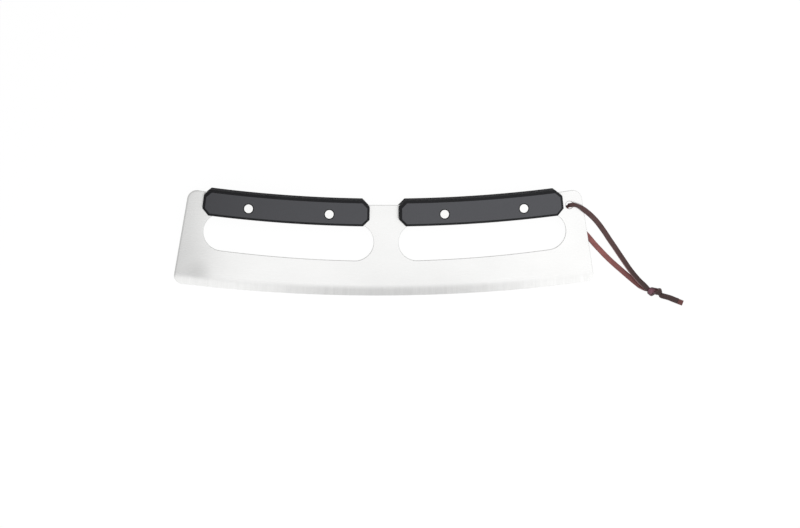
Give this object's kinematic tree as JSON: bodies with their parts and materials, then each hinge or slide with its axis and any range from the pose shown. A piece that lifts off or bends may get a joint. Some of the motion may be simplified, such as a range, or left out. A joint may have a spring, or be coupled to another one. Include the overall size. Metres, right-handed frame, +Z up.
{
  "type": "pizza rocker knife",
  "caption": "Wide curved steel rocker blade with riveted black grips over two finger slots and a knotted leather lace through an end hole.",
  "frame": {"origin": "on the table, in the middle under the knife as it lies on its back, without its lace", "axes": "+X along the blade towards the end with the lace, +Y from the cutting edge to the grips, +Z up from the table"},
  "size_m": [0.4278, 0.0998, 0.023],
  "materials": {
    "blade_steel": "fine satin, with a coarser ground edge",
    "grip_plastic": "fine matte moulding texture",
    "rivet_steel": "flat ground heads",
    "lace_leather": "smooth flat lace with cut sides"
  },
  "bodies": {
    "knife": {"blade": "blade_steel", "left_front_scale": "grip_plastic", "left_back_scale": "grip_plastic", "right_front_scale": "grip_plastic", "right_back_scale": "grip_plastic", "left_outer_rivet_front": "rivet_steel", "left_outer_rivet_back": "rivet_steel", "left_inner_rivet_front": "rivet_steel", "left_inner_rivet_back": "rivet_steel", "right_outer_rivet_front": "rivet_steel", "right_outer_rivet_back": "rivet_steel", "right_inner_rivet_front": "rivet_steel", "right_inner_rivet_back": "rivet_steel"},
    "lanyard": {"lanyard_front_strand": "lace_leather", "lanyard_back_strand": "lace_leather", "lanyard_front_tail": "lace_leather", "lanyard_back_tail": "lace_leather", "lanyard_knot": "lace_leather"}
  },
  "joints": [
    {"name": "lanyard_swing", "type": "hinge", "parent": "knife", "child": "lanyard", "pos_m": [0.153, 0.03021, 0.0117], "axis": [0, 0, 1], "range_deg": [-12, 50]}
  ]
}
